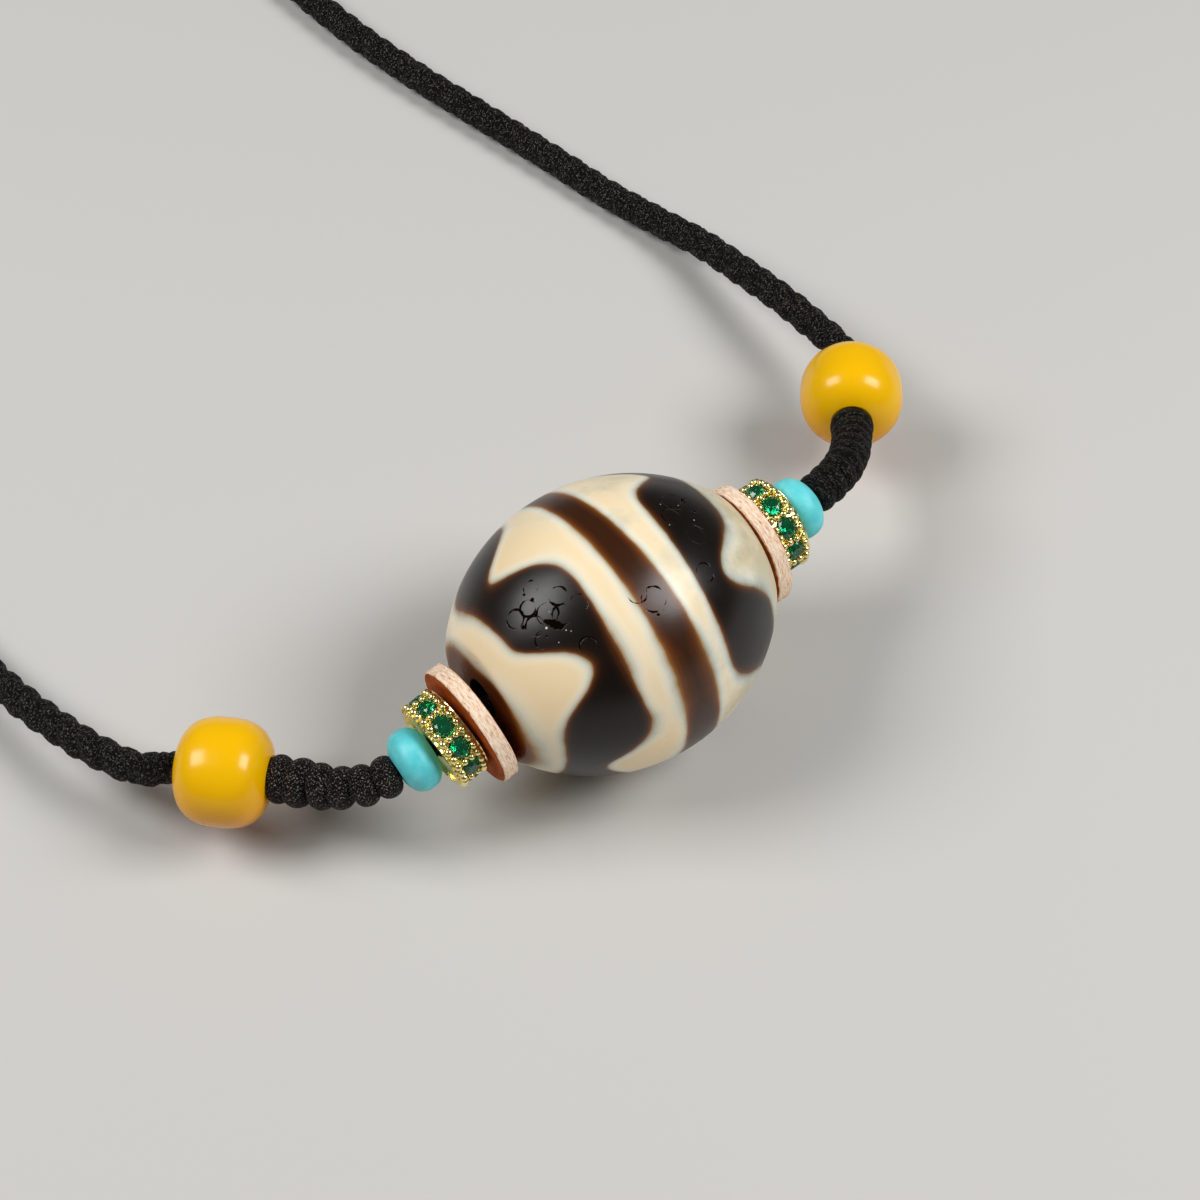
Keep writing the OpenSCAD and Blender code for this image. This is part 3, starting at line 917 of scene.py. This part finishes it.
def cast_grain(at, radius):
    """A sphere: the ring at tilt t is -radius * cos t along X and radius * sin t wide, and the
    rings nearest the poles are closed by caps."""
    tilt = np.linspace(0, np.pi, GRAIN_ROWS + 2)[1:-1]
    along, out = -radius * np.cos(tilt), radius * np.sin(tilt)
    return grid_part(turned(along, out, GRAIN_SIDES, at, np.array([1.0, 0, 0])))


for i, name, side in SIDES:
    ahead = heading(side, RING_YAW[i], RING_DROP[i])
    across, up = square_to(ahead)
    middle = centre_of(f"stone_ring_{name}")
    half = RING_W / 2
    wall = np.linspace(-half + WALL_IN, half - WALL_IN, WALL_ROWS)
    end_h = np.array([half - RIM_EDGE, half, half - RING_DISH, half - RING_DISH])
    end_r = np.array([RING_R - RIM_BEVEL, RING_DISH_R + DISH_BEVEL, RING_DISH_R, RING_BORE_R])
    h = np.concatenate((-end_h[::-1], wall, end_h))
    r = np.concatenate((end_r[::-1], DRUM_R + 0 * wall, end_r))
    angle = np.linspace(0, 2 * np.pi, RING_TURNS, endpoint=False)
    step = 2 * np.pi / STONES
    first = np.radians(270 - STONE_TURN[i])
    off = (angle - first + step / 2) % step - step / 2
    apart = np.hypot(h[:, None], off[None] * DRUM_R)
    seat = SEAT_DEEP * np.clip((SEAT_R - apart) / SEAT_EDGE, 0, 1)
    grid = turned(h, r[:, None] - seat, RING_TURNS, middle, ahead)
    parts = [grid_part(grid, wrap_rows=True)]
    for end in (-1, 1):
        for k in range(STONES * GRAINS_PER_STONE):
            turn = first + step * (k + 0.5) / GRAINS_PER_STONE
            out = np.cos(turn) * across + np.sin(turn) * up
            spot = middle + end * (half - RING_LIP - GRAIN_R) * ahead + RING_R * out
            parts.append(cast_grain(spot, GRAIN_R))
    for k in range(STONES):
        turn = first + step * (k + 0.5)
        out = np.cos(turn) * across + np.sin(turn) * up
        for rise in (-BAR_GRAIN_RISE, BAR_GRAIN_RISE):
            parts.append(cast_grain(middle + rise * ahead + RING_R * out, BAR_GRAIN_R))
    piece(f"gilt_ring_{name}", parts, gilt_brass, [f"stone_ring_{name}"])

# Green stones: round brilliants of glass, 2 mm across, ten to a ring. Each is cut with a table,
# eight crown facets, a girdle and a pavilion, and is glued in its seat.
STONE_R = 1.0
# Each row is a height in mm, a share of the radius, a count of points and their turn in steps.
STONE_RINGS = (
    (0.36, 0.56, 8, 0.0), (0.2, 0.84, 8, 0.5), (0.0, 1.0, 16, 0.0), (-0.1, 1.0, 16, 0.0),
    (-0.42, 0.6, 8, 0.5), (-0.8, 0.08, 8, 0.0),
)
GIRDLE_R = 4.168
FACET_ANGLE = 4

# Lead glass, coloured green and polished on a wheel: clear, deep and bright, so that it shows
# the gilt seat through itself and flashes white on single facets.
green_glass, tree, shader = finish_of(
    "green_glass_stone",
    {
        "Base Color": linear("#0E9A64"),
        "Roughness": 0.02,
        "IOR": 1.6,
        "Transmission Weight": 0.85,
    },
)


def cut_stone():
    """Points of one stone and the triangles of the hull round them, in its own place."""
    points = []
    for rise, share, count, shift in STONE_RINGS:
        turn = (np.arange(count) + shift) * 2 * np.pi / count
        ring = [STONE_R * share * np.cos(turn), STONE_R * share * np.sin(turn), rise + 0 * turn]
        points.append(np.stack(ring, 1))
    points = np.concatenate(points)
    hull = bmesh.new()
    for p in points:
        hull.verts.new(p)
    hull.verts.index_update()
    bmesh.ops.convex_hull(hull, input=hull.verts)
    faces = np.array([[v.index for v in face.verts] for face in hull.faces])
    hull.free()
    return points, faces


stone_points, stone_faces = cut_stone()
for i, name, side in SIDES:
    ahead = heading(side, RING_YAW[i], RING_DROP[i])
    across, up = square_to(ahead)
    parts = []
    for k in range(STONES):
        turn = np.radians(270 - STONE_TURN[i] - k * 360 / STONES)
        out = np.cos(turn) * across + np.sin(turn) * up
        basis = np.stack([ahead, np.cross(out, ahead), out])
        spot = centre_of(f"stone_ring_{name}") + GIRDLE_R * out
        block = (stone_faces, np.zeros((*stone_faces.shape, 2)))
        parts.append((spot + stone_points @ basis, [block]))
    piece(
        f"green_stones_{name}",
        parts,
        green_glass,
        [f"emerald_{name}_{k + 1:02d}" for k in range(STONES)],
        sharp=FACET_ANGLE,
    )

# Turquoise rondelles: dyed howlite, tumbled to a satin polish, with soft cloudy mottling. They
# are drilled, and spin freely on the thread beside the rings.
TURQUOISE_R = 3.1
TURQUOISE_T = 3.65
TURQUOISE_BORE_R = 1.25
TURQUOISE_POWER = 2.4
TURQUOISE_ROWS = 64
TURQUOISE_TURNS = 96
BORE_CHAMFER = 0.15
TURQUOISE_YAW = (3, 6)
TURQUOISE_DROP = (12, -2)
MOTTLES_IN_CM = 4.5

# Howlite, dyed and tumbled: a chalky stone with a satin surface, whose dye took unevenly in
# mottles 2 mm across. Light sinks in a little, so that its shadows stay blue.
dyed_howlite, tree, shader = finish_of(
    "dyed_howlite", {"Roughness": 0.48, "Subsurface Weight": 0.1, "Subsurface Scale": 0.0006}
)
at = add(tree, "TexCoord").outputs["Object"]
cloud = add(
    tree,
    "TexNoise",
    {"Vector": at, "Scale": MOTTLES_IN_CM / CM, "Detail": 5.0, "Roughness": 0.6},
)
tint = add(
    tree,
    "ValToRGB",
    {"Fac": cloud.outputs["Fac"]},
    stops=[(0.3, linear("#4FCAD3")), (0.5, linear("#63DAE1")), (0.72, linear("#82E4E9"))],
)
tree.links.new(tint.outputs["Color"], shader.inputs["Base Color"])


def rounded(radius, length, bore, power, count):
    """Closed outline of a drilled bead whose side bulges as |h / a| ** p + |r / R| ** p = 1, cut
    where it meets the bore and stretched so that the cuts lie a length apart."""
    turn = np.linspace(-np.pi / 2, np.pi / 2, count)
    h = length / 2 * np.sign(np.sin(turn)) * np.abs(np.sin(turn)) ** (2 / power)
    r = radius * np.abs(np.cos(turn)) ** (2 / power)
    keep = r > bore + BORE_CHAMFER
    h = h[keep] * length / 2 / h[keep].max()
    h = np.concatenate((h, [length / 2 - BORE_CHAMFER, BORE_CHAMFER - length / 2]))
    r = np.concatenate((r[keep], [bore, bore]))
    return h, r


for i, name, side in SIDES:
    h, r = rounded(
        TURQUOISE_R, TURQUOISE_T, TURQUOISE_BORE_R, TURQUOISE_POWER, TURQUOISE_ROWS
    )
    turquoise_dir = heading(side, TURQUOISE_YAW[i], TURQUOISE_DROP[i])
    grid = turned(h, r, TURQUOISE_TURNS, centre_of(f"turquoise_bead_{name}"), turquoise_dir)
    piece(
        f"turquoise_rondelle_{name}",
        [grid_part(grid, wrap_rows=True)],
        dyed_howlite,
        [f"turquoise_bead_{name}"],
    )

# Core thread: two plies of black nylon twisted together, which carry the middle pieces from one
# knotted neck through the bead to the other.
PLY_R = 0.5
PLY_TURN = 4.0
PLY_SIDES = 8
THREAD_STEP = 0.25
THREAD_IN = 0.15
RING_HOLD = 0.2
# Where the thread crosses the two ends of the bead's hole: off its middle, and along it.
HOLE_SHIFT = ((0, -0.42, -0.66), (0, 0, 0.06))
HOLE_IN = 14.2

stops = []
for i, name, side in SIDES:
    turquoise_dir = heading(side, TURQUOISE_YAW[i], TURQUOISE_DROP[i])
    ring_dir = heading(side, RING_YAW[i], RING_DROP[i])
    turquoise_at = centre_of(f"turquoise_bead_{name}")
    ring_at = centre_of(f"stone_ring_{name}")
    hole = centre_of("dzi_bead") + np.array(HOLE_SHIFT[i]) + [side * HOLE_IN, 0, 0]
    run = [
        turquoise_at + turquoise_dir * (TURQUOISE_T / 2 - THREAD_IN),
        turquoise_at,
        ring_at + ring_dir * RING_W * RING_HOLD,
        ring_at - ring_dir * RING_W * RING_HOLD,
        centre_of(f"leather_washer_{name}"),
        hole,
    ]
    stops += run if side < 0 else run[::-1]
line = line_through(stops, THREAD_STEP)
_, across, up = frames_along(line)
turn = np.arange(len(line)) * THREAD_STEP * 2 * np.pi / PLY_TURN
parts = []
for k in range(2):
    out = np.cos(turn + k * np.pi)[:, None] * across + np.sin(turn + k * np.pi)[:, None] * up
    parts.append(swept(line + PLY_R * out, PLY_R, PLY_R, out, PLY_SIDES))
piece("twisted_thread", parts, braided_nylon, ["core_thread"])

# Knotted necks: black nylon cord tied round the thread in snake knots. Each lobe is a hoop of
# yarn: six fat ones on the left; eight flatter, ribbed ones and a broad loop on the right.
NECK_GAP = 0.15
NECK_IN = 1.6
NECK_PULL = 0.38
NECK_STEP = 0.1
NECK_POINTS = 200
NECK_CORE_R = 1.3
NECK_CORE_SIDES = 12
HOOP_ROWS = 72
HOOP_SIDES = 24
# Each lobe is a place along the neck, an outer radius, a half thickness and a half width in mm,
# and a lean in degrees.
LEFT_LOBES = [
    (1.0, 2.0, 1.0, 1.2, -8), (3.2, 2.0, 1.05, 1.2, 10), (5.3, 2.02, 1.05, 1.2, -8),
    (7.35, 2.2, 1.1, 1.22, 12), (9.45, 2.35, 1.15, 1.25, -7), (11.38, 2.3, 1.1, 1.12, 4),
]
RIGHT_LOBES = [
    (0.95 + 1.6 * k, 2.0 + 0.03 * (k % 2), 0.85, 0.98, 6 - 3 * (k % 4)) for k in range(8)
]
RIGHT_LOBES += [(13.6, 2.14, 0.95, 1.0, 0)]

knotted_nylon = nylon("knotted_nylon", 12, 15.0, "#857D72")
ribbed_nylon = nylon("ribbed_nylon", 8, 3.0, "#504D48")

for i, name, side in SIDES:
    turquoise_dir = heading(side, TURQUOISE_YAW[i], TURQUOISE_DROP[i])
    bead_dir = heading(side, YELLOW_YAW[i], YELLOW_DROP[i])
    start = centre_of(f"turquoise_bead_{name}") + turquoise_dir * (TURQUOISE_T / 2 + NECK_GAP)
    end = centre_of(f"yellow_bead_{name}") - bead_dir * (YELLOW_LEN / 2 - NECK_IN)
    pull = NECK_PULL * np.linalg.norm(end - start)
    curve = bend(start, start + turquoise_dir * pull, end - bead_dir * pull, end, NECK_POINTS)
    line = line_through(curve, NECK_STEP)
    ahead, across, up = frames_along(line)
    parts = [swept(line, NECK_CORE_R, NECK_CORE_R, up, NECK_CORE_SIDES)]
    for place, outer, thick, wide, tilt in (LEFT_LOBES, RIGHT_LOBES)[i]:
        at_k = round(place / NECK_STEP)
        turn = np.linspace(0, 2 * np.pi, HOOP_ROWS, endpoint=False)
        slant = np.radians(tilt)
        level = across[at_k] * np.cos(slant) + ahead[at_k] * np.sin(slant)
        out = np.cos(turn)[:, None] * level + np.sin(turn)[:, None] * up[at_k]
        hoop = line[at_k] + (outer - thick) * out
        axis = np.cross(level, up[at_k])
        minor = np.linspace(0, 2 * np.pi, HOOP_SIDES, endpoint=False)
        ring = (
            hoop[:, None]
            + thick * np.cos(minor)[None, :, None] * out[:, None]
            + wide * np.sin(minor)[None, :, None] * axis
        )
        parts.append(grid_part(ring, wrap_rows=True, along=turn * 2))
    piece(
        f"snake_knots_{name}",
        parts,
        (knotted_nylon, ribbed_nylon)[i],
        [f"knotted_neck_{name}"],
    )

# Yellow beads: opaque glass barrels, fire-polished to a high gloss, with a wide drilled hole that
# takes the neck on one side and the cord on the other.
YELLOW_R = 5.1
YELLOW_BORE_R = 1.8
YELLOW_POWER = 2.7
YELLOW_ROWS = 96
YELLOW_TURNS = 128
# Heights in mm over which the painted shade runs from orange to yellow.
SHADED_BELOW = 3.0
LIT_ABOVE = 13.5
SWIRLS_IN_CM = 1.2

# Opaque glass, wound and fire-polished: one soft bright gleam on a smooth face. Painted shade
# turns the colour from orange near the floor to yellow on top, with swirls 8 mm across.
yellow_glass, tree, shader = finish_of(
    "yellow_glass",
    {
        "Roughness": 0.22,
        "Specular IOR Level": 0.36,
        "Subsurface Weight": 0.1,
        "Subsurface Scale": 0.001,
    },
)
at = add(tree, "TexCoord").outputs["Object"]
cloud = add(tree, "TexNoise", {"Vector": at, "Scale": SWIRLS_IN_CM / CM, "Detail": 2.0})
# Painted shade: orange low on the bead, yellow higher up.
rise = add(tree, "SeparateXYZ", {0: at})
rise = add(
    tree,
    "MapRange",
    {
        "Value": rise.outputs[2],
        "From Min": SHADED_BELOW * MM,
        "From Max": LIT_ABOVE * MM,
        "To Max": 0.85,
    },
)
depth = add(
    tree,
    "Math",
    {0: cloud.outputs["Fac"], 1: 0.2, 2: rise.outputs["Result"]},
    operation="MULTIPLY_ADD",
)
tint = add(
    tree,
    "ValToRGB",
    {"Fac": depth.outputs[0]},
    stops=[(0.1, linear("#E28800")), (0.45, linear("#F0A400")), (0.8, linear("#F8BE00"))],
)
tree.links.new(tint.outputs["Color"], shader.inputs["Base Color"])
for i, name, side in SIDES:
    h, r = rounded(YELLOW_R, YELLOW_LEN, YELLOW_BORE_R, YELLOW_POWER, YELLOW_ROWS)
    bead_dir = heading(side, YELLOW_YAW[i], YELLOW_DROP[i])
    grid = turned(h, r, YELLOW_TURNS, centre_of(f"yellow_bead_{name}"), bead_dir)
    piece(
        f"glass_barrel_{name}",
        [grid_part(grid, wrap_rows=True)],
        yellow_glass,
        [f"yellow_bead_{name}"],
    )
